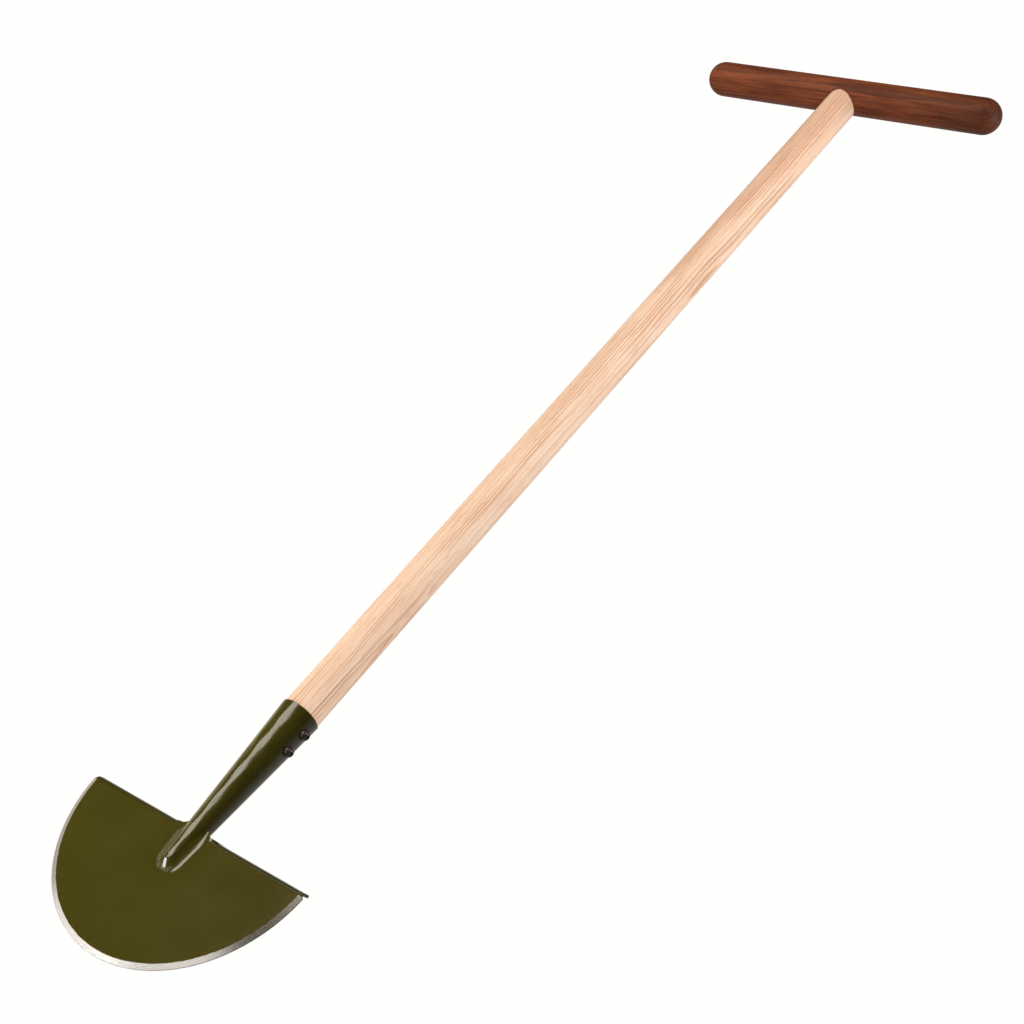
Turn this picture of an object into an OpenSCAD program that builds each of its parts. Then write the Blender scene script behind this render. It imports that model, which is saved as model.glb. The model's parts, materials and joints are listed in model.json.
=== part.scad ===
// Half moon lawn edger: a pressed steel head with a rolled socket, a turned ash shaft
// and a walnut T-handle. Millimetres. The shaft stands along +Z and the blade faces -Y.
// The origin is the lowest point of the cutting edge, on the shaft's axis, and the back
// of the blade lies in the plane of that axis.

/* [Overall] */
// Length from the cutting edge to the top of the handle
overall_l = 1066; // [700:1:1300]

/* [Blade] */
// Width of the blade across its corners
blade_w = 222; // [160:1:300]
// Depth of the blade from the top of its fold to its lowest point
blade_d = 109; // [80:0.5:150]
// Thickness of the steel sheet that the head is pressed from
sheet_t = 2.2; // [1.6:0.1:3]
// Width of the bevel that is ground along the cutting edge
bevel_w = 4; // [2:0.5:12]
// Thickness that the bevel leaves at the cutting edge
edge_t = 0.7; // [0.1:0.1:1]

/* [Treads] */
// Depth of the flat of each tread behind its fold
tread_d = 5; // [3:0.5:25]
// Angle by which the treads rise towards the back
tread_rise = 20; // [0:1:40]
// Inside radius of the fold
fold_r = 3; // [1:0.5:6]
// How far each tread stops short of the blade's corner
tread_trim = 2.5; // [1:0.5:20]

/* [Socket] */
// Height of the socket's rim above the top of the fold
socket_h = 114; // [80:0.5:200]
// How far the rim stands proud of the shaft all round
rim_proud = 1; // [0.3:0.1:1.4]
// Outside diameter of the socket at the top of the fold
neck_d = 18.2; // [14:0.1:26]
// Length of the ridge that carries the socket down the blade
ridge_l = 37; // [18:0.5:70]
// Radius of the corner between the socket and each tread
corner_r = 6; // [2:0.5:15]
// Width of the seam up the back of the socket
seam_w = 0.8; // [0.4:0.1:2]

/* [Shaft] */
// Diameter of the shaft
shaft_d = 30.6; // [26:0.1:40]
// Depth of the shaft's tapered end inside the socket
seat_l = 92; // [60:1:104]
// Clearance between the wood and what it seats in
fit_gap = 0.1; // [0.05:0.05:0.4]

/* [Handle] */
// Length of the handle over its rounded ends
handle_l = 314; // [150:1:500]
// Diameter of the handle
handle_d = 34; // [30:0.5:45]

/* [Socket screws] */
// Distance from the socket's rim down to the upper screw
screw_drop = 13.5; // [8:0.5:25]
// Distance between the two screws
screw_pitch = 17; // [11:0.5:28]
// Diameter of the domed head
screw_head_d = 8.5; // [6:0.1:10]
// Height of the domed head
screw_head_h = 4.5; // [2.5:0.1:6]
// Diameter of the shank
screw_d = 4.5; // [3:0.1:5.5]
// Length of the shank under the head
screw_l = 20; // [10:0.5:22]
// Length of each slot of the cross recess
recess_l = 5; // [3:0.1:5.5]
// Width of each slot of the cross recess
recess_w = 1.2; // [0.6:0.1:2]
// Depth of the cross recess
recess_d = 1.8; // [0.8:0.1:2.2]

/* [Handle joint] */
// Diameter of the plug in the top of the handle
plug_d = 13; // [10:0.5:16]
// Height of the plug
plug_h = 7; // [4:0.5:10]
// Diameter of the hidden screw's head
joint_head_d = 11; // [8:0.1:12]
// Height of the hidden screw's head
joint_head_h = 3.5; // [2:0.1:5]
// Diameter of the hidden screw's shank
joint_d = 6; // [4:0.1:7.5]
// Length of the hidden screw's shank under its head
joint_l = 95; // [60:1:160]

/* [Hidden] */
$fn = 96;
lap = 2;              // how far pieces of the pressing run into each other
clear = 1;            // how far a cutting shape runs past what it cuts
tip_share = 0.25;     // width of a screw's tip as a share of its shank

// Blade: the cutting edge is an arc through both corners and the lowest point
arc_r = (blade_w * blade_w / 4 + blade_d * blade_d) / (2 * blade_d);
fold_out_r = fold_r + sheet_t;
fold_z = blade_d - fold_out_r * cos(tread_rise);
corner_x = sqrt(arc_r * arc_r - pow(arc_r - fold_z, 2));
tread_end_x = corner_x - tread_trim;

// Socket: one cone from the rim down to the rounded nose of the ridge
rim_z = blade_d + socket_h;
rim_r = shaft_d / 2 + rim_proud;
neck_r = neck_d / 2;
taper = (rim_r - neck_r) / socket_h;
nose_r = (neck_r - taper * ridge_l) / (1 - taper);
nose_z = blade_d - ridge_l + nose_r;
tread_start_x = neck_r + corner_r;
socket_back_z = fold_z + corner_r;

// Shaft and handle
shaft_r = shaft_d / 2;
seat_z = rim_z - seat_l;
handle_r = handle_d / 2;
handle_z = overall_l - handle_r;

// Screws
upper_screw_z = rim_z - screw_drop;
lower_screw_z = upper_screw_z - screw_pitch;
joint_head_z = overall_l - plug_h - joint_head_h;

// Colours
olive_paint = [0.30, 0.27, 0.11];
ash_wood = [0.93, 0.79, 0.64];
walnut_wood = [0.42, 0.24, 0.17];
black_steel = [0.16, 0.12, 0.11];
zinc_steel = [0.75, 0.76, 0.78];

// Outside radius of the socket's cone at a height
function socket_r(z) = neck_r + taper * (z - blade_d);

// Cone with a rounded lower end, drawn in by a wall; it can run on past the rim
module socket_core(wall, past_rim = 0) {
  top_z = rim_z + past_rim;
  translate([0, 0, nose_z])
    cylinder(r1 = nose_r - wall, r2 = socket_r(top_z) - wall, h = top_z - nose_z);
  translate([0, 0, nose_z])
    sphere(r = nose_r - wall);
}

// Flat of the blade, with the bevel on its front
module plate() {
  intersection() {
    translate([0, 0, arc_r])
      rotate([90, 0, 0])
        rotate_extrude()
          polygon([[0, 0], [arc_r, 0], [arc_r, edge_t], [arc_r - bevel_w, sheet_t], [0, sheet_t]]);
    translate([-arc_r - clear, -sheet_t - clear, -clear])
      cube([2 * (arc_r + clear), sheet_t + 2 * clear, fold_z + clear]);
  }
}

// Points round an arc about the origin
function arc_points(r, from, to, steps = 12) =
  [for (i = [0:steps]) let (a = from + (to - from) * i / steps) r * [cos(a), sin(a)]];

// Section of a tread, drawn about the centre of its fold: stem, fold and flat
module tread_section() {
  fold_end = 90 + tread_rise;
  along = tread_d * [cos(tread_rise), sin(tread_rise)];
  outside = arc_points(fold_out_r, 180, fold_end);
  inside = arc_points(fold_r, fold_end, 180);
  polygon(concat(
    [[-fold_out_r, -lap]], outside, [outside[len(outside) - 1] + along],
    [inside[0] + along], inside, [[-fold_r, -lap]]
  ));
}

// Tread on the right; the left one is its mirror image
module tread() {
  translate([tread_start_x, fold_r, fold_z])
    rotate([90, 0, 90])
      linear_extrude(tread_end_x - tread_start_x)
        tread_section();
}

// Sheet between the treads, curving up into the sides of the socket
module neck_web() {
  rotate([90, 0, 0])
    linear_extrude(sheet_t)
      difference() {
        translate([-tread_start_x, fold_z - lap])
          square([2 * tread_start_x, corner_r + lap]);
        for (side = [-1, 1])
          translate([side * tread_start_x, fold_z + corner_r])
            circle(r = corner_r);
      }
}

// Rolled socket: a full tube above the blade, and only its front half down the blade
module socket_shell() {
  difference() {
    socket_core(0);
    translate([-rim_r - clear, 0, 0])
      cube([2 * (rim_r + clear), rim_r + clear, socket_back_z]);
  }
}

// Seam where the rolled edges of the socket meet, up its back
module seam() {
  inner_y = neck_r / 2;
  translate([-seam_w / 2, inner_y, fold_z])
    cube([seam_w, rim_r - inner_y + clear, rim_z - fold_z + clear]);
}

// Hole for a socket screw through the wall on the +X side
module screw_hole(z) {
  inner_x = neck_r / 2;
  translate([inner_x, 0, z])
    rotate([0, 90, 0])
      cylinder(d = screw_d + 2 * fit_gap, h = rim_r - inner_x + clear);
}

// Blade, treads and socket in one sheet, hollow from the nose of the ridge to the rim
module pressing() {
  difference() {
    union() {
      plate();
      neck_web();
      for (side = [0, 1])
        mirror([side, 0, 0])
          tread();
      socket_shell();
    }
    socket_core(sheet_t, past_rim = clear);
  }
}

module head() {
  color(olive_paint)
    difference() {
      pressing();
      seam();
      screw_hole(upper_screw_z);
      screw_hole(lower_screw_z);
    }
}

// Seat in the shaft for a socket screw: the shank's hole, as deep as the screw
module screw_seat(z) {
  depth_x = screw_base_x(z) - screw_l - fit_gap;
  translate([depth_x, 0, z])
    rotate([0, 90, 0])
      cylinder(d = screw_d + 2 * fit_gap, h = rim_r - depth_x);
}

module shaft() {
  seat_gap = sheet_t + fit_gap;
  color(ash_wood)
    difference() {
      rotate_extrude()
        polygon([
          [0, seat_z], [socket_r(seat_z) - seat_gap, seat_z], [rim_r - seat_gap, rim_z],
          [shaft_r, rim_z], [shaft_r, handle_z], [0, handle_z],
        ]);
      translate([0, 0, handle_z])
        rotate([0, 90, 0])
          cylinder(r = handle_r + fit_gap, h = 2 * (shaft_r + clear), center = true);
      screw_seat(upper_screw_z);
      screw_seat(lower_screw_z);
      translate([0, 0, joint_head_z - joint_l - fit_gap])
        cylinder(d = joint_d + 2 * fit_gap, h = joint_l);
    }
}

// Turned bar with round ends
module handle_bar() {
  bar_l = handle_l - handle_d;
  rotate([0, 90, 0])
    cylinder(r = handle_r, h = bar_l, center = true);
  for (side = [-1, 1])
    translate([side * bar_l / 2, 0, 0])
      sphere(r = handle_r);
}

module handle() {
  color(walnut_wood)
    difference() {
      translate([0, 0, handle_z])
        handle_bar();
      translate([0, 0, joint_head_z])
        cylinder(d = plug_d + 2 * fit_gap, h = overall_l - joint_head_z + clear);
      translate([0, 0, handle_z - handle_r - clear])
        cylinder(d = joint_d + 2 * fit_gap, h = handle_d);
    }
}

// Where the flat under a screw's head meets the widest part of the cone beneath it
function screw_base_x(z) = socket_r(z + screw_head_d / 2) + fit_gap;

// Pointed shank that hangs below the origin and runs up into its screw's head
module screw_shank(d, l) {
  point_l = d;
  translate([0, 0, point_l - l])
    cylinder(d = d, h = l - point_l + lap);
  translate([0, 0, -l])
    cylinder(d1 = d * tip_share, d2 = d, h = point_l);
}

// Domed screw with a cross recess, pointing inwards from the +X side
module socket_screw(z) {
  head_r = screw_head_d / 2;
  dome_r = (head_r * head_r + screw_head_h * screw_head_h) / (2 * screw_head_h);
  color(black_steel)
    translate([screw_base_x(z), 0, z])
      rotate([0, 90, 0])
        difference() {
          union() {
            intersection() {
              translate([0, 0, screw_head_h - dome_r])
                sphere(r = dome_r);
              cylinder(r = head_r, h = screw_head_h + clear);
            }
            screw_shank(screw_d, screw_l);
          }
          for (turn = [0, 90])
            rotate([0, 0, turn])
              translate([-recess_l / 2, -recess_w / 2, screw_head_h - recess_d])
                cube([recess_l, recess_w, recess_d + clear]);
        }
}

module upper_socket_screw() {
  socket_screw(upper_screw_z);
}

module lower_socket_screw() {
  socket_screw(lower_screw_z);
}

// Hidden screw that pulls the handle down onto the hollowed top of the shaft
module handle_screw() {
  color(zinc_steel)
    translate([0, 0, joint_head_z]) {
      cylinder(d = joint_head_d, h = joint_head_h);
      screw_shank(joint_d, joint_l);
    }
}

// Plug over the hidden screw, its top finished flush with the round of the handle
module handle_plug() {
  color(walnut_wood)
    intersection() {
      translate([0, 0, overall_l - plug_h])
        cylinder(d = plug_d, h = plug_h);
      translate([0, 0, handle_z])
        handle_bar();
    }
}

head();
shaft();
handle();
upper_socket_screw();
lower_socket_screw();
handle_screw();
handle_plug();
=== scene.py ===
"""Looks of the half moon edger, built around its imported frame.

Metres, in the frame's own axes: the shaft stands along +Z, the blade faces -Y and the origin is the
lowest point of the cutting edge. The head, shaft and handle are new meshes with eased edges. The
screws and the plug keep their CAD shapes.
"""

import json
import math

import bmesh
import bpy
from mathutils import Matrix, Vector

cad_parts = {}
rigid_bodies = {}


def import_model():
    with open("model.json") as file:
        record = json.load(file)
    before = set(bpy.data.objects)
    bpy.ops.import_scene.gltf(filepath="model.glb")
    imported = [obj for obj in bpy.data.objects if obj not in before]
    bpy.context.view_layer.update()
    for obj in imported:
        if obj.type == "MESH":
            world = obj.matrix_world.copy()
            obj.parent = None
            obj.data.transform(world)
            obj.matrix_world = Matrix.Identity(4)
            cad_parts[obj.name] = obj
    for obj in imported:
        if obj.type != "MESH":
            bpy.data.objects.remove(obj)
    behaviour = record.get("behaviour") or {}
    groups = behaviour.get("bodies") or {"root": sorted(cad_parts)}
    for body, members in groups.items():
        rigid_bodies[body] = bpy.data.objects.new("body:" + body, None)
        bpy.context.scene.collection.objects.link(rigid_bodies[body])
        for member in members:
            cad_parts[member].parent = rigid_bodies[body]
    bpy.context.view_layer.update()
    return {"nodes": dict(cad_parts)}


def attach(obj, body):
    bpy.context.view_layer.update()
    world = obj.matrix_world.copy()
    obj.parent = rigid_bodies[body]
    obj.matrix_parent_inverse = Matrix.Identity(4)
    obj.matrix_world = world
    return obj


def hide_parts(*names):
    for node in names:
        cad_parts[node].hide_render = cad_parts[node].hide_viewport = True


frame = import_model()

MM = 0.001
SAME_POINT = 1e-6  # points closer than this are one
NO_LENGTH = 1e-7  # edges shorter than this are none

# Blade
BLADE_W = 222 * MM
BLADE_D = 109 * MM
SHEET_T = 2.2 * MM
BEVEL_W = 4 * MM
EDGE_T = 0.7 * MM
EDGE_ROUND = 0.3 * MM
SHEET_SHARP = math.radians(16)  # the sheet's edges that turn by more than this look sharp
ARC_R = (BLADE_W**2 / 4 + BLADE_D**2) / (2 * BLADE_D)

# Treads, folded back about an axis along X
TREAD_D = 5 * MM
TREAD_RISE = math.radians(20)
FOLD_R = 3 * MM
FOLD_OUT_R = FOLD_R + SHEET_T
FOLD_Z = BLADE_D - FOLD_OUT_R * math.cos(TREAD_RISE)
CORNER_X = math.sqrt(ARC_R**2 - (ARC_R - FOLD_Z) ** 2)
TREAD_TRIM = 2.5 * MM
TREAD_END_X = CORNER_X - TREAD_TRIM
TRIM_SHARE = 0.4  # share of the way from the fold line to the lip in which the trim comes in

# Socket and the ridge that carries it down the blade
SHAFT_R = 15.3 * MM
SOCKET_L = 114 * MM
RIM_STEP = 1 * MM
RIM_Z = BLADE_D + SOCKET_L
RIM_R = SHAFT_R + RIM_STEP
NECK_R = 9.1 * MM
TAPER = (RIM_R - NECK_R) / (RIM_Z - BLADE_D)
CORNER_R = 6 * MM
TREAD_START_X = NECK_R + CORNER_R
NECK_TOP_Z = BLADE_D + CORNER_R
SOCKET_BACK_Z = FOLD_Z + CORNER_R
WRAP_ANGLE = math.radians(95)  # how far round from its front the socket's lower end comes down
UNFOLD_W = 14 * MM  # stretch beside the socket in which each tread unfolds into the blade
WEB_MIN_W = 1 * MM  # least flat between the fillet beside the ridge and the tread
RIDGE_FILLET = 12 * MM
NECK_FILLET = 1.5 * MM
FILLET_END_Z = 98 * MM  # from here up to the neck the fillets beside the ridge grow tighter
RIDGE_L = 37 * MM
FOOT_Z = BLADE_D - RIDGE_L
NOSE_L = 8.6 * MM
SEAM_W = 0.8 * MM
BARE_TOP_Z = FOLD_Z + 1 * MM  # the bare steel of the bevel ends here

# Shallow dent up the rolled front of the socket, with a bulge on each side. It sways to and fro, and
# swells and sinks, in waves whose lengths are given for one radian.
DENT = 0.15 * MM
DENT_ANGLE = math.radians(12)
BULGE_ANGLE = math.radians(20)
SWAY_ANGLE = math.radians(3)
SWAY_L = 6.5 * MM
SWELL_SHARE = 0.4
SWELL_L = 4.1 * MM
SWELL_START = 0.8
DENT_FADE_L = 3 * MM

# Shaft and handle
FIT_GAP = 0.1 * MM
SEAT_L = 92 * MM
SEAT_Z = RIM_Z - SEAT_L
SEAT_GAP = SHEET_T + FIT_GAP  # from the outside of the socket to the shaft in it
HORN_SHARE = 0.85  # the horns of the shaft's hollow end are sanded back to this share of their reach
OVERALL_L = 1066 * MM
HANDLE_L = 314 * MM
HANDLE_R = 17 * MM
HANDLE_Z = OVERALL_L - HANDLE_R
PLUG_R = 6.5 * MM
PLUG_H = 7 * MM
SCREW_HEAD_H = 3.5 * MM
BORE_L = PLUG_H + SCREW_HEAD_H
WOOD_EASE = 0.5 * MM
WOOD_SHARP = math.radians(35)  # the wood's edges that turn by more than this look sharp
WOOD_SHINE = 0.13

# Camera, solved from the outlines of the photograph
CAMERA_AT = (0.7917, -0.8926, -0.1610)
CAMERA_HEADING = math.radians(40.653)
CAMERA_TILT = math.radians(27.716)
CAMERA_ROLL = math.radians(41.129)
SENSOR_W = 36.0
LENS = 58.85

# Studio
FLOOR_Z = -0.6
FLOOR_SIZE = 30.0
FLOOR_GLOW = 0.6  # shown to the camera alone, so that the floor looks pale
ROOM_FRONT = 0.04  # strength of the room's light in front of the tool
ROOM_BACK = 0.60  # and behind it
HEAD_CENTRE = (0, 0, 0.15)
WARM = (1.0, 0.93, 0.80)
CREAM = (1.0, 0.97, 0.88)
GOLD = (1.0, 0.76, 0.40)
WHITE = (1.0, 1.0, 1.0)

# Each light's azimuth and elevation in degrees, distance, width, height, watts, target and colour
LIGHTS = {
    "front_softbox": (-18, 20, 2.6, 1.2, 0.82, 23, HEAD_CENTRE, WARM),
    "front_low_softbox": (-20.5, 5.5, 2.6, 0.96, 0.5, 11, HEAD_CENTRE, WARM),
    "shaft_softbox": (40, 14, 1.3, 0.6, 0.6, 5.8, (0, 0, 0.85), WHITE),
    "right_softbox": (95, 20, 1.28, 0.5, 0.8, 10.7, (0, 0, 0.56), WHITE),
    "left_panel": (-75, 2, 1.5, 0.75, 0.69, 1.0, (0, 0, 0.1), CREAM),
    "gold_panel": (-103, 5, 1.5, 0.75, 0.69, 1.6, HEAD_CENTRE, GOLD),
    "edge_panel": (2, 10, 2.6, 0.55, 0.5, 0.35, HEAD_CENTRE, WARM),
    "floor_panel": (-36, -18.5, 1.3, 1.82, 0.39, 3.0, (0, 0, 0.03), WHITE),
    "high_panel": (-42, 48, 2.2, 1.1, 0.9, 2.2, HEAD_CENTRE, WHITE),
    "nose_glint": (-48, -42.5, 0.75, 0.33, 0.16, 2.9, (0, 0, 0.08), WHITE),
}
OFF_THE_HEAD = ("shaft_softbox", "right_softbox")  # lights for the wood alone, flagged off the head


def steps(first, last, count):
    """Evenly spaced values from first to last, both included."""
    return [first + (last - first) * i / count for i in range(count + 1)]


def cone_r(z):
    """Outside radius of the socket's cone at a height."""
    return NECK_R + TAPER * (z - BLADE_D)


def eased(value):
    """0 below 0, 1 above 1, and a smooth step between them."""
    share = min(max(value, 0), 1)
    return share * share * (3 - 2 * share)


def ramp(value, blend=0.1):
    """0 below 0, 1 above 1, and a straight slope between them that is rounded at both ends."""
    share = min(max(value, 0), 1)
    if share > 0.5:
        return 1 - ramp(1 - share, blend)
    if share < blend:
        return share**2 / (2 * blend * (1 - blend))
    return (share - blend / 2) / (1 - blend)


def fillet_r(z):
    """Radius of the fillets beside the ridge at a height."""
    share = eased((z - FILLET_END_Z) / (NECK_TOP_Z - FILLET_END_Z))
    return RIDGE_FILLET + (NECK_FILLET - RIDGE_FILLET) * share


def fillet_reach(z):
    """How far from the axis the fillet beside the ridge runs out into the blade."""
    fillet = fillet_r(z)
    return math.sqrt((cone_r(z) + fillet) ** 2 - (SHEET_T + fillet) ** 2)


def fillet_start(z):
    """How far from the axis that fillet leaves the round of the ridge."""
    return fillet_reach(z) * cone_r(z) / (cone_r(z) + fillet_r(z))


def dent(angle, z):
    """How far the socket's front bulges beside a shallow dent up it, which wanders, comes and goes."""
    middle = DENT_ANGLE + SWAY_ANGLE * math.sin(z / SWAY_L)
    turn = math.pi * (angle - middle) / BULGE_ANGLE
    if abs(turn) > 2 * math.pi:
        return 0
    depth = DENT * (1 - SWELL_SHARE + SWELL_SHARE * math.sin(z / SWELL_L + SWELL_START))
    return depth * (1 - math.cos(turn)) * eased((z - FOOT_Z - NOSE_L) / DENT_FADE_L)


def ridge_height(x, z):
    """How far the ridge stands out from the front of the blade."""
    z = max(z, FOOT_Z)
    reach = abs(x)
    run_out = fillet_reach(z) - reach
    if run_out <= 0:
        return 0
    if reach < fillet_start(z):
        r = cone_r(z)
        height = math.sqrt(r**2 - reach**2) - SHEET_T + dent(math.asin(x / r), z)
    else:
        height = fillet_r(z) - math.sqrt(fillet_r(z) ** 2 - run_out**2)
    return height * ramp((z - FOOT_Z) / NOSE_L)


# How far round from its front the fillets leave the socket at the top of the neck
RIDGE_ANGLE = math.asin(fillet_start(NECK_TOP_Z) / cone_r(NECK_TOP_Z))


def column_x(x, z):
    """Where the column that stands at x at the top of the neck runs at a height: it follows the fillets."""
    z = max(z, FOOT_Z)
    marks = (0, fillet_start(NECK_TOP_Z), fillet_reach(NECK_TOP_Z), TREAD_START_X)
    places = (0, fillet_start(z), fillet_reach(z), max(TREAD_START_X, fillet_reach(z) + WEB_MIN_W))
    size = abs(x)
    for low, high, start, end in zip(marks, marks[1:], places, places[1:]):
        if size <= high:
            return math.copysign(start + (end - start) * (size - low) / (high - low), x)
    return x


def on_plate(x, z):
    """Point on the front of the blade, ridge included."""
    return Vector((x, -SHEET_T - ridge_height(x, z), z))


def on_tread(x, share):
    """Point on the outside of the fold and tread, a share of the way from the fold line to the lip.

    Beside the socket the sheet isn't folded, and it stands as high as the fold does further out.
    """
    full_turn = math.pi / 2 - TREAD_RISE
    length = share * (FOLD_OUT_R * full_turn + TREAD_D - EDGE_ROUND)
    turn = min(length / FOLD_OUT_R, full_turn)
    along = length - turn * FOLD_OUT_R
    y = FOLD_R - FOLD_OUT_R * math.cos(turn) + along * math.sin(turn)
    z = FOLD_Z + FOLD_OUT_R * math.sin(turn) + along * math.cos(turn)
    upright = Vector((x, -SHEET_T, FOLD_Z + share * (BLADE_D - FOLD_Z)))
    return upright.lerp(Vector((x, y, z)), eased((abs(x) - TREAD_START_X) / UNFOLD_W))


def on_tube(angle, z):
    """Point on the outside of the socket; the angle is measured from its front."""
    r = cone_r(z) + dent(angle, z)
    return Vector((r * math.sin(angle), -r * math.cos(angle), z))


class Sheet:
    """Outside surface of a bent sheet, gathered as patches that share points, then given thickness."""

    def __init__(self):
        self.mesh = bmesh.new()
        self.ground = self.mesh.verts.layers.float.new("ground")

    def patch(self, points, ground=None):
        """A grid of points; ground says how much of the thickness is ground away at each."""
        rows = []
        for i, line in enumerate(points):
            row = []
            for j, point in enumerate(line):
                vert = self.mesh.verts.new(point)
                vert[self.ground] = ground[i][j] if ground else 0
                row.append(vert)
            rows.append(row)
        for low, high in zip(rows, rows[1:]):
            for a, b, c, d in zip(low, low[1:], high[1:], high):
                self.mesh.faces.new((a, b, c, d))

    def thicken(self, thickness, edge_round):
        """Adds the inside and closes every open edge with a rounded one, or a sharp one where ground."""
        mesh = self.mesh
        bmesh.ops.remove_doubles(mesh, verts=mesh.verts, dist=SAME_POINT)
        bmesh.ops.dissolve_degenerate(mesh, edges=mesh.edges, dist=NO_LENGTH)
        bmesh.ops.recalc_face_normals(mesh, faces=mesh.faces)
        # The highest face is on the socket, where outwards is away from the axis
        highest = max(mesh.faces, key=lambda face: face.calc_center_median().z)
        if highest.normal.dot(highest.calc_center_median() * Vector((1, 1, 0))) < 0:
            bmesh.ops.reverse_faces(mesh, faces=mesh.faces)
        mesh.normal_update()
        outside = list(mesh.faces)
        verts = list(mesh.verts)
        border = [e for e in mesh.edges if e.is_boundary]

        # Which way the sheet would run on past each open edge
        away = {v: Vector() for v in verts}
        for edge in border:
            face = edge.link_faces[0]
            out = (edge.verts[1].co - edge.verts[0].co).cross(face.normal)
            if out.dot(face.calc_center_median() - edge.verts[0].co) > 0:
                out.negate()
            for v in edge.verts:
                away[v] += out.normalized()

        inside = {v: mesh.verts.new(v.co - v.normal * thickness) for v in verts}
        for v in verts:
            v.co -= v.normal * (v[self.ground] * thickness)
        for face in outside:
            mesh.faces.new([inside[v] for v in reversed(face.verts)])

        rims = {}
        for edge in border:
            for v in edge.verts:
                if v not in rims:
                    rims[v] = self.rim(v, inside[v], away[v], edge_round)
            a, b = edge.verts
            for corners in zip(rims[a], rims[a][1:], rims[b][1:], rims[b]):
                mesh.faces.new(corners)
        bmesh.ops.recalc_face_normals(mesh, faces=mesh.faces)

    def rim(self, outer, inner, away, edge_round):
        """Points across the thickness of one place on an open edge, from the outside to the inside."""
        middle = (outer.co + inner.co) / 2
        half = outer.co - middle
        bulge = away.normalized() * edge_round * (1 - outer[self.ground])
        between = []
        for turn in steps(0, math.pi, 4)[1:-1]:
            between.append(self.mesh.verts.new(middle + half * math.cos(turn) + bulge * math.sin(turn)))
        return [outer, *between, inner]


def finish_mesh(name, mesh, sharp_angle=SHEET_SHARP):
    """Object from a bmesh, smooth but for the edges that turn by more than an angle."""
    for face in mesh.faces:
        face.smooth = True
    for edge in mesh.edges:
        edge.smooth = len(edge.link_faces) == 2 and edge.calc_face_angle() < sharp_angle
    data = bpy.data.meshes.new(name)
    mesh.to_mesh(data)
    mesh.free()
    piece = bpy.data.objects.new(name, data)
    bpy.context.scene.collection.objects.link(piece)
    return piece


def corner_top(x):
    """Top of the sheet between the treads: it curves up from each tread into the side of the socket."""
    into = TREAD_START_X - abs(x)
    if into >= CORNER_R:
        return NECK_TOP_Z
    return NECK_TOP_Z - math.sqrt(CORNER_R**2 - into**2)


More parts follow.
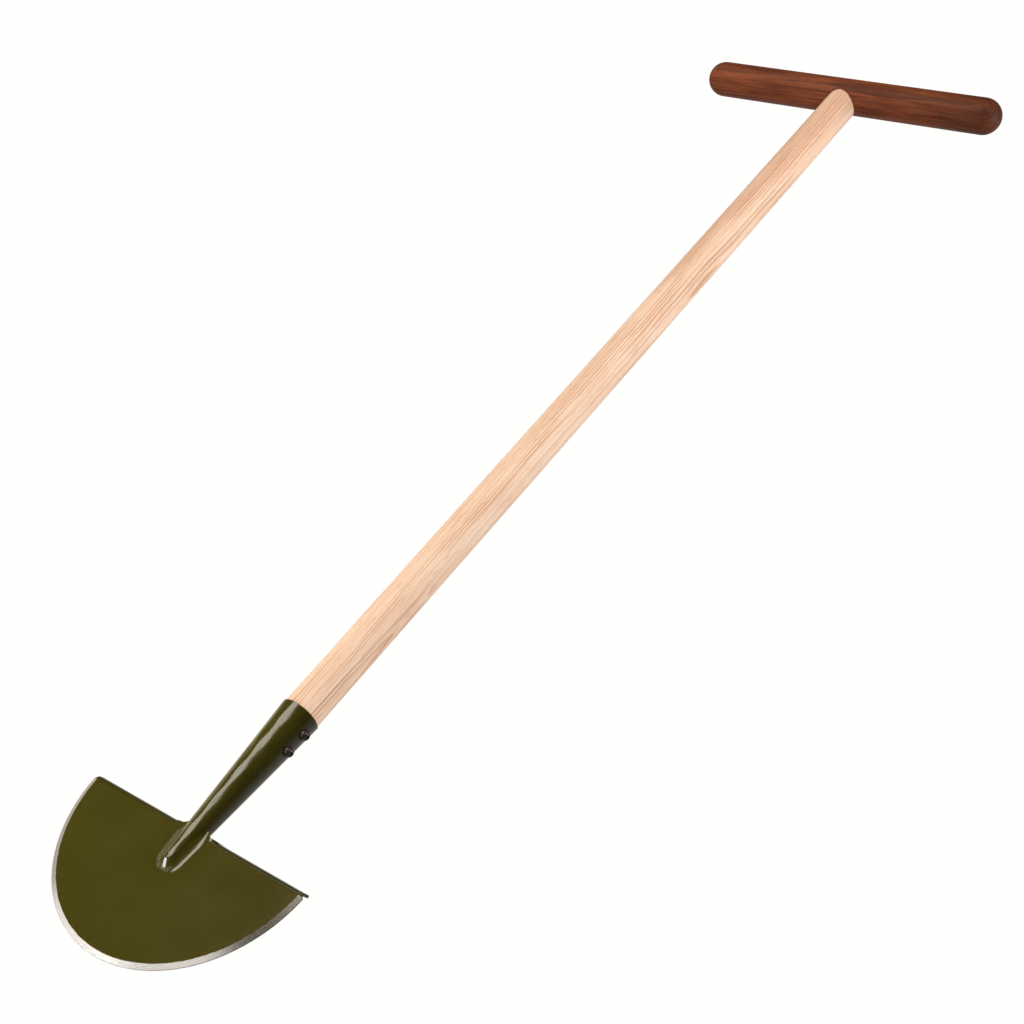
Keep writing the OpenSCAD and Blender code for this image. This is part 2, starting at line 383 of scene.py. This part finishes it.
def make_head():
    """The pressed head: blade, treads and socket in one sheet, with the bevel ground along the arc."""
    sheet = Sheet()
    ground_edge = (SHEET_T - EDGE_T) / SHEET_T
    inner_arc_r = ARC_R - BEVEL_W
    wing_end_x = math.sqrt(inner_arc_r**2 - (ARC_R - FOLD_Z) ** 2)

    neck_angles = steps(-RIDGE_ANGLE, RIDGE_ANGLE, 60)
    ridge = [cone_r(NECK_TOP_Z) * math.sin(a) for a in neck_angles]
    fillet = steps(ridge[-1], fillet_reach(NECK_TOP_Z), 10)
    web = steps(fillet[-1], TREAD_START_X, 6)
    wing = steps(TREAD_START_X, TREAD_START_X + UNFOLD_W, 12)
    wing += [wing[-1] + (wing_end_x - wing[-1]) * math.sin(a) for a in steps(0, math.pi / 2, 40)[1:]]
    right_web = fillet[1:] + web[1:]
    right = right_web + wing[1:]
    columns = [-x for x in reversed(right)] + ridge + right
    neck = [-x for x in reversed(right_web)] + ridge + right_web

    # Rows are closest where the nose of the ridge rises from the blade
    heights = steps(0, 0.6, 26) + steps(0.6, 0.86, 60)[1:] + steps(0.86, 1, 16)[1:]
    bevel_shares = steps(0, 1, 3)

    def arc_z(x):
        return ARC_R - math.sqrt(max(inner_arc_r**2 - x**2, 0))

    plate = []
    for share in heights:
        line = []
        for x in columns:
            low = arc_z(column_x(x, 0))
            z = low + share * (FOLD_Z - low)
            line.append(on_plate(column_x(x, z), z))
        plate.append(line)
    sheet.patch(plate)

    centre = Vector((0, -SHEET_T, ARC_R))
    outer = [centre + (p - centre) * (ARC_R / inner_arc_r) for p in plate[0]]
    outer[0] = Vector((-CORNER_X, -SHEET_T, FOLD_Z))
    outer[-1] = Vector((CORNER_X, -SHEET_T, FOLD_Z))
    bevel = [[p.lerp(q, share) for p, q in zip(plate[0], outer)] for share in bevel_shares]
    sheet.patch(bevel, [[ground_edge * share] * len(columns) for share in bevel_shares])

    lip_shares = steps(0, 0.6, 10) + steps(0.6, 1, 5)[1:]
    neck_rows = []
    for share in lip_shares:
        line = []
        for x in neck:
            z = FOLD_Z + share * (corner_top(x) - FOLD_Z)
            line.append(on_plate(column_x(x, z), z))
        neck_rows.append(line)
    sheet.patch(neck_rows)

    for side in (-1, 1):
        tread = []
        ground = []
        for share in lip_shares:
            trim = eased(share / TRIM_SHARE)
            end_x = CORNER_X + (TREAD_END_X - CORNER_X) * trim
            ends = [wing_end_x + (end_x - wing_end_x) * part for part in bevel_shares[1:]]
            tread.append([on_tread(side * x, share) for x in wing + ends])
            fade = ground_edge * (1 - trim)
            ground.append([0] * len(wing) + [fade * part for part in bevel_shares[1:]])
        sheet.patch(tread, ground)

    def tube_point(angle, share):
        wrapped = eased((abs(angle) - RIDGE_ANGLE) / (WRAP_ANGLE - RIDGE_ANGLE))
        bottom = NECK_TOP_Z + (SOCKET_BACK_Z - NECK_TOP_Z) * wrapped
        z = bottom + share * (RIM_Z - EDGE_ROUND - bottom)
        seam = math.pi - math.asin(SEAM_W / 2 / cone_r(z))
        return on_tube(math.copysign(min(abs(angle), seam), angle), z)

    side = steps(RIDGE_ANGLE, math.pi, 32)[1:]
    angles = [-a for a in reversed(side)] + neck_angles + side
    sheet.patch([[tube_point(a, share) for a in angles] for share in steps(0, 1, 60)])
    sheet.thicken(SHEET_T, EDGE_ROUND)
    return finish_mesh("head_sheet", sheet.mesh)


def turned_mesh(rings, ends):
    """Closed mesh through rings of points, with a point in the middle of each end."""
    mesh = bmesh.new()
    rows = [[mesh.verts.new(point) for point in ring] for ring in rings]
    for low, high in zip(rows, rows[1:]):
        for corners in zip(low, low[1:] + low[:1], high[1:] + high[:1], high):
            mesh.faces.new(corners)
    for row, end in zip((rows[0], rows[-1]), ends):
        tip = mesh.verts.new(end)
        for a, b in zip(row, row[1:] + row[:1]):
            mesh.faces.new((a, b, tip))
    bmesh.ops.recalc_face_normals(mesh, faces=mesh.faces)
    return mesh


def make_shaft():
    """Turned shaft: tapered where it seats in the socket, hollowed on top to the round of the handle."""
    turns = steps(0, 2 * math.pi, 128)[:-1]
    cope_r = HANDLE_R + FIT_GAP
    seat_r = cone_r(SEAT_Z) - SEAT_GAP
    base_z = RIM_Z + WOOD_EASE

    def cope_z(y):
        return HANDLE_Z - math.sqrt(cope_r**2 - (HORN_SHARE * y) ** 2)

    def ring(r, height):
        """Points round the axis; height gives each one's z from its y."""
        points = []
        for a in turns:
            y = r * math.sin(a)
            points.append((r * math.cos(a), y, height(y)))
        return points

    profile = [(seat_r - WOOD_EASE, SEAT_Z), (seat_r, SEAT_Z + WOOD_EASE)]
    profile += [(RIM_R - SEAT_GAP, RIM_Z), (SHAFT_R - WOOD_EASE, RIM_Z), (SHAFT_R, base_z)]
    rings = [ring(r, lambda y: z) for r, z in profile]
    for share in steps(0, 1, 30)[1:]:
        rings.append(ring(SHAFT_R, lambda y: base_z + share * (cope_z(y) - base_z)))
    rings += [ring(r, cope_z) for r in steps(SHAFT_R, 0, 12)[1:-1]]
    mesh = turned_mesh(rings, ((0, 0, SEAT_Z), (0, 0, cope_z(0))))
    return finish_mesh("shaft_wood", mesh, WOOD_SHARP)


def cut_out(piece, cutter):
    """What is left of one object when another is cut out of it, as a bmesh; both objects are deleted."""
    cut = piece.modifiers.new("cut", "BOOLEAN")
    cut.operation = "DIFFERENCE"
    cut.solver = "EXACT"
    cut.object = cutter
    graph = bpy.context.evaluated_depsgraph_get()
    left = bmesh.new()
    left.from_mesh(piece.evaluated_get(graph).to_mesh())
    for data in (piece.data, cutter.data):
        bpy.data.meshes.remove(data)
    return left


def make_handle():
    """Turned bar with round ends, bored on top for the plug."""
    turns = steps(0, 2 * math.pi, 112)[:-1]
    bar = HANDLE_L / 2 - HANDLE_R
    quarter = steps(0, math.pi / 2, 20)[1:]
    left_end = [(-bar - HANDLE_R * math.cos(a), HANDLE_R * math.sin(a)) for a in quarter]
    right_end = [(-x, r) for x, r in reversed(left_end)]
    profile = left_end + [(x, HANDLE_R) for x in steps(-bar, bar, 40)[1:-1]] + right_end
    rings = []
    for x, r in profile:
        rings.append([(x, r * math.cos(a), HANDLE_Z + r * math.sin(a)) for a in turns])
    mesh = turned_mesh(rings, ((-HANDLE_L / 2, 0, HANDLE_Z), (HANDLE_L / 2, 0, HANDLE_Z)))
    bar_piece = finish_mesh("bar", mesh, WOOD_SHARP)

    bore = bmesh.new()
    overshoot = 2 * MM
    bore_l = BORE_L + overshoot
    middle_z = HANDLE_Z + HANDLE_R + overshoot - bore_l / 2
    bmesh.ops.create_cone(
        bore,
        cap_ends=True,
        segments=64,
        radius1=PLUG_R + FIT_GAP,
        radius2=PLUG_R + FIT_GAP,
        depth=bore_l,
        matrix=Matrix.Translation((0, 0, middle_z)),
    )
    return finish_mesh("handle_wood", cut_out(bar_piece, finish_mesh("bore", bore)), WOOD_SHARP)


class Graph:
    """Short ways to write the nodes of a material or of the world."""

    def __init__(self, owner, shader="Principled BSDF"):
        self.owner = owner
        owner.use_nodes = True
        self.tree = owner.node_tree
        self.shader = self.tree.nodes[shader]
        coordinates = self.tree.nodes.new("ShaderNodeTexCoord")
        self.place = coordinates.outputs["Object"]
        self.direction = coordinates.outputs["Generated"]

    def feed(self, socket, value):
        """Link an output to an input, or set the input to a constant."""
        if isinstance(value, bpy.types.NodeSocket):
            self.tree.links.new(value, socket)
        else:
            socket.default_value = value

    def add(self, kind, inputs, **settings):
        """New node of a kind, with its settings and then its inputs filled in."""
        node = self.tree.nodes.new("ShaderNode" + kind)
        for key, value in settings.items():
            setattr(node, key, value)
        for key, value in inputs.items():
            self.feed(node.inputs[key], value)
        return node

    def math(self, operation, a, b=0.0):
        return self.add("Math", {0: a, 1: b}, operation=operation).outputs[0]

    def split(self, vector):
        return self.add("SeparateXYZ", {0: vector}).outputs

    def join(self, x, y, z):
        return self.add("CombineXYZ", {0: x, 1: y, 2: z}).outputs[0]

    def length(self, vector):
        return self.add("VectorMath", {0: vector}, operation="LENGTH").outputs["Value"]

    def noise(self, vector, scale, detail=2.0, roughness=0.5):
        inputs = {"Vector": vector, "Scale": scale, "Detail": detail, "Roughness": roughness}
        return self.add("TexNoise", inputs).outputs["Fac"]

    def ranged(self, value, low, high, to_low=0.0, to_high=1.0):
        """Smooth step from to_low, where the value is low, to to_high, where it is high."""
        inputs = {"Value": value, "From Min": low, "From Max": high, "To Min": to_low, "To Max": to_high}
        return self.add("MapRange", inputs, interpolation_type="SMOOTHSTEP").outputs["Result"]

    def mix(self, share, a, b):
        """Mix of two colours."""
        return self.add("Mix", {0: share, 6: a, 7: b}, data_type="RGBA").outputs[2]

    def blend(self, share, a, b):
        """Mix of two numbers."""
        return self.add("Mix", {0: share, 2: a, 3: b}).outputs[0]

    def bump(self, height, distance, strength=1.0, normal=None):
        inputs = {"Height": height, "Distance": distance, "Strength": strength}
        if normal is not None:
            inputs["Normal"] = normal
        return self.add("Bump", inputs).outputs["Normal"]

    def shade(self, **values):
        """Feed the shader's inputs, named in small letters with underscores, and give back the owner."""
        for key, value in values.items():
            name = key.replace("_", " ").title().replace("Ior", "IOR")
            self.feed(self.shader.inputs[name], value)
        return self.owner


def material_graph(name):
    """Graph of a new material."""
    return Graph(bpy.data.materials.new(name))


def rgb(red, green, blue):
    """Linear colour of an sRGB one given as 0 to 255."""

    def linear(value):
        share = value / 255
        return share / 12.92 if share <= 0.04045 else ((share + 0.055) / 1.055) ** 2.4

    return (linear(red), linear(green), linear(blue), 1.0)


def paint_material():
    """Gloss olive paint over the whole pressing, ground away to bare steel along the cutting edge."""
    g = material_graph("olive_paint")
    x, _, z = g.split(g.place)
    facing = g.split(g.add("NewGeometry", {}).outputs["Normal"])[1]
    broad = g.noise(g.place, 18.0, 3.0)
    speck = g.noise(g.place, 900.0, 2.0)
    paint = g.mix(g.ranged(broad, 0.3, 0.7), rgb(67, 61, 13), rgb(71, 65, 15))

    # Bare within the bevel's width of the arc, with a ragged line to the paint, and on the front alone
    radius = g.length(g.join(x, 0.0, g.math("SUBTRACT", z, ARC_R)))
    across = g.math("DIVIDE", g.math("SUBTRACT", radius, ARC_R - BEVEL_W), BEVEL_W)
    ragged = g.noise(g.place, 260.0, 3.0)
    line = g.math("ADD", across, g.math("MULTIPLY", g.math("SUBTRACT", ragged, 0.5), 0.25))
    below = g.math("LESS_THAN", z, BARE_TOP_Z)
    front = g.math("MULTIPLY", g.ranged(facing, -0.70, -0.78), below)
    bare = g.math("MULTIPLY", g.ranged(line, -0.02, 0.06), front)

    # Grinding marks run across the bevel
    angle = g.math("ARCTAN2", x, g.math("SUBTRACT", ARC_R, z))
    along = g.join(g.math("MULTIPLY", angle, 160.0), g.math("MULTIPLY", across, 2.2), 0.0)
    marks = g.noise(along, 2.0, 4.0, 0.7)
    steel = g.mix(g.ranged(marks, 0.3, 0.7), rgb(184, 177, 168), rgb(220, 215, 208))

    colour = g.mix(bare, paint, steel)
    paint_rough = g.ranged(broad, 0.3, 0.7, 0.12, 0.17)
    steel_rough = g.ranged(marks, 0.25, 0.75, 0.18, 0.28)
    rough = g.blend(bare, paint_rough, steel_rough)
    peel = g.bump(speck, 0.02 * MM, 0.25)
    scored = g.bump(g.math("MULTIPLY", marks, bare), 0.05 * MM, 0.25, peel)
    return g.shade(base_color=colour, metallic=bare, roughness=rough, normal=scored)


def wood_material(name, axes, pith, ring, bold, wander, colours, painted_shade, rough):
    """Wood with growth rings round a pith beside the piece.

    axes are the two axes across the grain and the one along it, pith is its place on the first two, ring
    is the width of a year's growth, bold is how dark its late wood is, and wander is how far the grain
    strays. colours are light, middle and dark. The argument after colours is painted shade: a direction,
    the depths along it where the painted shade starts and is full, and how dark that is.
    """
    g = material_graph(name)
    place = g.split(g.place)
    u, v, w = [place[axis] for axis in axes]

    def grain(width, length, detail=2.0):
        """Noise drawn out along the grain, in streaks about so wide and so long."""
        stretched = [g.math("DIVIDE", u, width), g.math("DIVIDE", v, width), g.math("DIVIDE", w, length)]
        return g.noise(g.join(*stretched), 1.0, detail)

    # Growth rings: each year darkens into its late wood and ends at once
    stray = g.math("MULTIPLY", g.math("SUBTRACT", grain(60 * MM, 220 * MM), 0.5), wander)
    beside = g.math("ADD", g.math("SUBTRACT", u, pith[0]), stray)
    from_pith = g.join(beside, g.math("SUBTRACT", v, pith[1]), 0.0)
    years = g.math("DIVIDE", g.length(from_pith), ring)
    uneven = g.noise(g.join(g.math("MULTIPLY", years, 0.45), 0.0, 0.0), 1.0)
    year = g.math("FRACT", g.math("ADD", years, g.math("MULTIPLY", uneven, 1.8)))
    late = g.math("MULTIPLY", g.ranged(year, 0.15, 0.88), g.ranged(year, 1.0, 0.88))

    # Fibres, pores and the broad figure of the grain
    strand = grain(1.3 * MM, 70 * MM, 3.0)
    clear = g.ranged(grain(9 * MM, 130 * MM), 0.35, 0.66, 0.15, bold)
    pores = g.ranged(grain(0.55 * MM, 11 * MM), 0.55, 0.70)
    light, middle, dark = colours
    figure = grain(11 * MM, 60 * MM)
    ground = g.mix(g.ranged(g.math("ADD", strand, figure), 0.7, 1.3), light, middle)
    ringed = g.mix(g.math("MULTIPLY", late, clear), ground, dark)
    pitted = g.mix(g.math("MULTIPLY", pores, g.ranged(late, 0.0, 0.8, 0.65, 0.2)), ringed, dark)
    # Painted shade: the wood is darkened along a direction, which stands in for shade
    direction, first, full, strength = painted_shade
    depth = g.add("VectorMath", {0: g.place, 1: direction}, operation="DOT_PRODUCT").outputs["Value"]
    shade_share = g.ranged(g.math("ADD", depth, stray), first, full, 0.0, strength)
    height = g.math("SUBTRACT", g.math("MULTIPLY", strand, 0.5), g.math("MULTIPLY", pores, 0.5))
    return g.shade(
        base_color=g.mix(shade_share, pitted, dark),
        roughness=g.ranged(strand, 0.2, 0.8, rough, rough + 0.12),
        specular_ior_level=WOOD_SHINE,
        normal=g.bump(height, 0.08 * MM, 0.35),
    )


def metal_material(name, dark, light, metallic, rough):
    """Small fasteners: lacquered or plated, a little mottled."""
    g = material_graph(name)
    mottle = g.noise(g.place, 700.0, 3.0)
    return g.shade(
        base_color=g.mix(g.ranged(mottle, 0.35, 0.65), dark, light),
        metallic=metallic,
        roughness=g.ranged(mottle, 0.3, 0.7, rough, rough + 0.12),
        normal=g.bump(mottle, 0.03 * MM, 0.3),
    )


def dress(piece, material):
    """Give a piece one material, in place of any that it has."""
    piece.data.materials.clear()
    piece.data.materials.append(material)


def make_floor():
    """Plain pale floor, far below the tool because the photograph looks up at it."""
    mesh = bmesh.new()
    bmesh.ops.create_grid(mesh, size=FLOOR_SIZE, matrix=Matrix.Translation((0, 0, FLOOR_Z)))
    floor = finish_mesh("floor", mesh)
    g = material_graph("pale_floor")
    pale = g.mix(g.noise(g.place, 3.0), (0.90, 0.90, 0.89, 1), (0.94, 0.94, 0.93, 1))
    seen = g.add("LightPath", {}).outputs["Is Camera Ray"]
    glow = g.math("MULTIPLY", seen, FLOOR_GLOW)
    dress(floor, g.shade(base_color=pale, roughness=0.9, emission_color=pale, emission_strength=glow))
    floor.visible_glossy = False


def add_light(name, azimuth, elevation, far, width, height, power, target, colour):
    """Soft rectangular light that faces its target; azimuth 0 is in front of the blade and 90 along +X."""
    turn, rise = math.radians(azimuth), math.radians(elevation)
    aim = Vector((math.sin(turn) * math.cos(rise), -math.cos(turn) * math.cos(rise), math.sin(rise)))
    data = bpy.data.lights.new(name, "AREA")
    data.shape = "RECTANGLE"
    data.size = width
    data.size_y = height
    data.energy = power
    data.color = colour
    light = bpy.data.objects.new(name, data)
    light.visible_camera = False
    light.location = Vector(target) + aim * far
    light.rotation_euler = aim.to_track_quat("Z", "Y").to_euler()
    bpy.context.scene.collection.objects.link(light)
    return light


def keep_off(light, piece):
    """Let a light reach all the meshes in the scene but one, as a studio flag does."""
    lit = bpy.data.collections.new(light.name + "_lit")
    for other in bpy.context.scene.objects:
        if other.type == "MESH" and other != piece:
            lit.objects.link(other)
    light.light_linking.receiver_collection = lit


def make_world():
    """White to the camera; to everything else a room that is dim in front and bright behind."""
    g = Graph(bpy.data.worlds.new("studio"), "Background")
    room = g.ranged(g.split(g.direction)[1], -0.2, 0.8, ROOM_FRONT, ROOM_BACK)
    seen = g.add("LightPath", {}).outputs["Is Camera Ray"]
    world = g.shade(color=(1.0, 1.0, 0.99, 1.0), strength=g.blend(seen, room, 1.0))
    bpy.context.scene.world = world


def make_camera():
    """Camera at the photograph's viewing angle."""
    data = bpy.data.cameras.new("photo_camera")
    data.sensor_fit = "HORIZONTAL"
    data.sensor_width = SENSOR_W
    data.lens = LENS
    camera = bpy.data.objects.new("photo_camera", data)
    turn = (
        Matrix.Rotation(CAMERA_HEADING, 4, "Z")
        @ Matrix.Rotation(math.pi / 2 + CAMERA_TILT, 4, "X")
        @ Matrix.Rotation(CAMERA_ROLL, 4, "Z")
    )
    camera.matrix_world = Matrix.Translation(CAMERA_AT) @ turn
    bpy.context.scene.collection.objects.link(camera)
    bpy.context.scene.camera = camera


paint = paint_material()
ash = wood_material(
    "ash",
    axes=(0, 1, 2),
    pith=(0.045, 0.004),
    ring=2.6 * MM,
    bold=0.9,
    wander=15 * MM,
    colours=(rgb(250, 220, 195), rgb(239, 200, 171), rgb(198, 145, 114)),
    # Painted shade up the front-left side of the shaft's upper part
    painted_shade=((-0.50, -0.87, 0.075), 0.066, 0.079, 0.32),
    rough=0.42,
)
walnut = wood_material(
    "walnut",
    axes=(1, 2, 0),
    pith=(-0.030, HANDLE_Z - 0.012),
    ring=4.2 * MM,
    bold=0.5,
    wander=26 * MM,
    colours=(rgb(143, 76, 44), rgb(97, 47, 28), rgb(50, 22, 13)),
    # Painted shade towards the handle's +X end
    painted_shade=((1.0, 0.0, 0.0), 0.04, 0.16, 0.65),
    rough=0.42,
)
black_screw = metal_material("black_lacquer", rgb(38, 28, 25), rgb(52, 40, 36), 0.0, 0.30)
zinc_screw = metal_material("zinc_plate", rgb(190, 192, 196), rgb(220, 222, 226), 1.0, 0.32)

for make, node, material, slot in (
    (make_head, "head", paint, "painted_steel"),
    (make_shaft, "shaft", ash, "ash"),
    (make_handle, "handle", walnut, "walnut"),
):
    piece = make()
    dress(piece, material)
    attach(piece, "root")
    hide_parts(node)

for node, material in (
    ("upper_socket_screw", black_screw),
    ("lower_socket_screw", black_screw),
    ("handle_screw", zinc_screw),
    ("handle_plug", walnut),
):
    dress(frame["nodes"][node], material)

make_floor()
make_world()
make_camera()
for name, setting in LIGHTS.items():
    light = add_light(name, *setting)
    if name in OFF_THE_HEAD:
        keep_off(light, bpy.data.objects["head_sheet"])
bpy.context.scene.view_settings.view_transform = "Standard"
